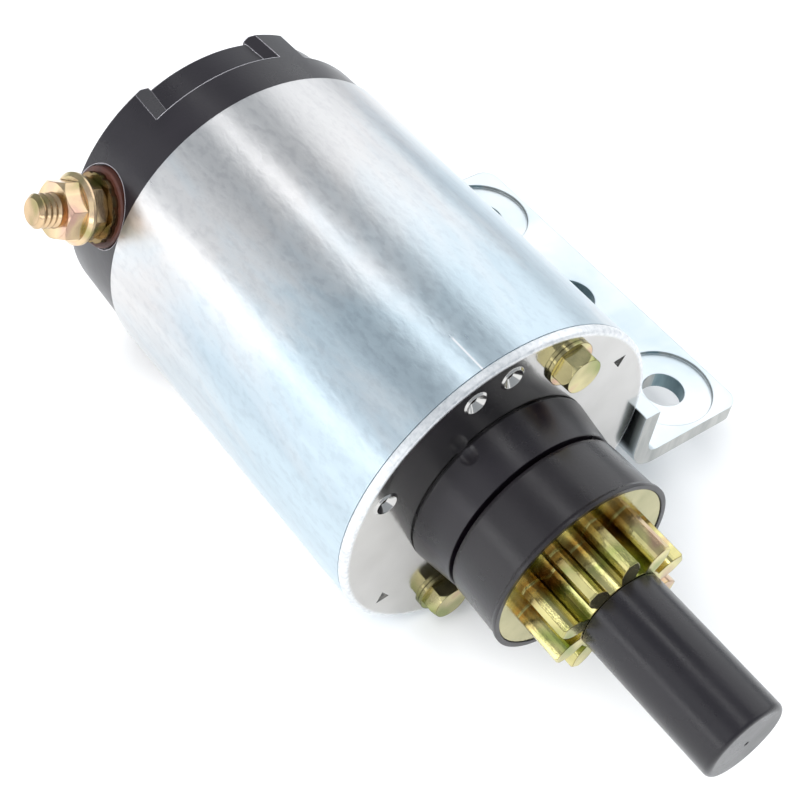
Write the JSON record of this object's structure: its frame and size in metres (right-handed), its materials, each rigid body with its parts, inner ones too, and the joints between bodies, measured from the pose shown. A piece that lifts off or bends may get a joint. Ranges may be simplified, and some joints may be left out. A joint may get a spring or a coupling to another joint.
{
  "type": "inertia-drive starter motor",
  "caption": "Small-engine electric starter: zinc can with a side bracket, black end cap with a terminal stud, and a sliding toothed pinion on a splined shaft.",
  "frame": {"origin": "midway between the two mounting holes, on the mounting face under the bracket's embossed pads", "axes": "+X along the armature axis towards the pinion, +Z out of the bracket's upper face (away from the engine), +Y across the bracket away from the can"},
  "size_m": [0.1896, 0.133, 0.082],
  "materials": {
    "zinc_can": "bright zinc plated steel, satin, streaked along the axis",
    "ferrite": "sintered ferrite, matte",
    "spring_steel": "oiled spring steel",
    "zinc_plate": "bright zinc plated steel, smooth",
    "black_cast": "black painted casting, satin",
    "bronze": "sintered bronze, oil filled",
    "yellow_zinc": "yellow chromated zinc on steel, iridescent",
    "zinc_bracket": "bright zinc plated steel plate",
    "weld": "plated weld bead",
    "copper": "bare copper",
    "fibre_red": "red-brown vulcanised fibre",
    "fibre_tan": "tan insulating board",
    "brass": "stamped brass",
    "steel": "turned bare steel",
    "laminations": "stacked electrical steel, varnished",
    "enamelled_copper": "enamelled copper wire",
    "black_plastic": "black moulded nylon, satin",
    "pinion_zinc": "yellow chromated zinc on a steel gear, iridescent",
    "black_cup": "black oxide steel, satin",
    "rubber": "moulded rubber",
    "carbon": "copper-graphite carbon"
  },
  "bodies": {
    "housing": {"field_frame": "zinc_can", "field_magnet_1": "ferrite", "field_magnet_2": "ferrite", "field_magnet_3": "ferrite", "field_magnet_4": "ferrite", "magnet_clips": "spring_steel", "drive_end_plate": "zinc_plate", "drive_end_nose": "black_cast", "front_bushing": "bronze", "through_bolt_1": "yellow_zinc", "through_bolt_2": "yellow_zinc", "commutator_end_cap": "black_cast", "rear_bushing": "bronze", "mounting_bracket": "zinc_bracket", "bracket_welds": "weld", "terminal_stud": "yellow_zinc", "terminal_strap": "copper", "terminal_inner_insulator": "fibre_red", "terminal_outer_insulator": "fibre_red", "terminal_washer": "yellow_zinc", "terminal_jam_nut": "yellow_zinc", "terminal_flange_nut": "yellow_zinc", "brush_holder_plate": "fibre_tan", "brush_plate_screws": "yellow_zinc", "brush_leads": "copper", "brush_box_1": "brass", "brush_box_2": "brass", "brush_box_3": "brass", "brush_box_4": "brass", "brush_spring_1": "spring_steel", "brush_spring_2": "spring_steel", "brush_spring_3": "spring_steel", "brush_spring_4": "spring_steel"},
    "armature": {"armature_shaft": "steel", "lamination_stack": "laminations", "end_insulator_rear": "fibre_red", "end_insulator_front": "fibre_red", "armature_windings": "enamelled_copper", "commutator_core": "black_plastic", "commutator_segments": "copper", "front_thrust_washer": "fibre_tan", "stop_nut": "yellow_zinc", "anti_drift_spring": "spring_steel"},
    "dust_cover_slide": {"dust_cover_spacer": "steel", "dust_cover": "black_plastic"},
    "pinion_drive": {"pinion": "pinion_zinc", "screw_sleeve": "steel", "drive_cup": "black_cup", "clutch_rear_washer": "steel", "rubber_cushion": "rubber", "clutch_front_washer": "steel"},
    "brush_1_carbon": {"brush_1": "carbon"},
    "brush_2_carbon": {"brush_2": "carbon"},
    "brush_3_carbon": {"brush_3": "carbon"},
    "brush_4_carbon": {"brush_4": "carbon"}
  },
  "joints": [
    {"name": "armature_spin", "type": "hinge", "parent": "housing", "child": "armature", "pos_m": [0, -0.0644, 0.0223], "axis": [1, 0, 0], "continuous": true},
    {"name": "pinion_travel", "type": "slide", "parent": "armature", "child": "dust_cover_slide", "axis": [1, 0, 0], "range_m": [0, 0.014], "stiffness_N_per_m": 300, "springref_m": -0.008, "deforming": ["anti_drift_spring"]},
    {"name": "pinion_twist", "type": "hinge", "parent": "dust_cover_slide", "child": "pinion_drive", "pos_m": [0, -0.0644, 0.0223], "axis": [1, 0, 0], "range_deg": [-84.5, 0]},
    {"name": "brush_1_lift", "type": "slide", "parent": "housing", "child": "brush_1_carbon", "axis": [0, 0.9063, 0.4226], "range_m": [0, 0.003], "stiffness_N_per_m": 600, "springref_m": -0.004, "deforming": ["brush_spring_1"]},
    {"name": "brush_2_lift", "type": "slide", "parent": "housing", "child": "brush_2_carbon", "axis": [0, -0.4226, 0.9063], "range_m": [0, 0.003], "stiffness_N_per_m": 600, "springref_m": -0.004, "deforming": ["brush_spring_2"]},
    {"name": "brush_3_lift", "type": "slide", "parent": "housing", "child": "brush_3_carbon", "axis": [0, -0.9063, -0.4226], "range_m": [0, 0.003], "stiffness_N_per_m": 600, "springref_m": -0.004, "deforming": ["brush_spring_3"]},
    {"name": "brush_4_lift", "type": "slide", "parent": "housing", "child": "brush_4_carbon", "axis": [0, 0.4226, -0.9063], "range_m": [0, 0.003], "stiffness_N_per_m": 600, "springref_m": -0.004, "deforming": ["brush_spring_4"]}
  ],
  "couplings": [
    {"joint": "pinion_twist", "follows": "pinion_travel", "rad_per_m": -104.72}
  ]
}
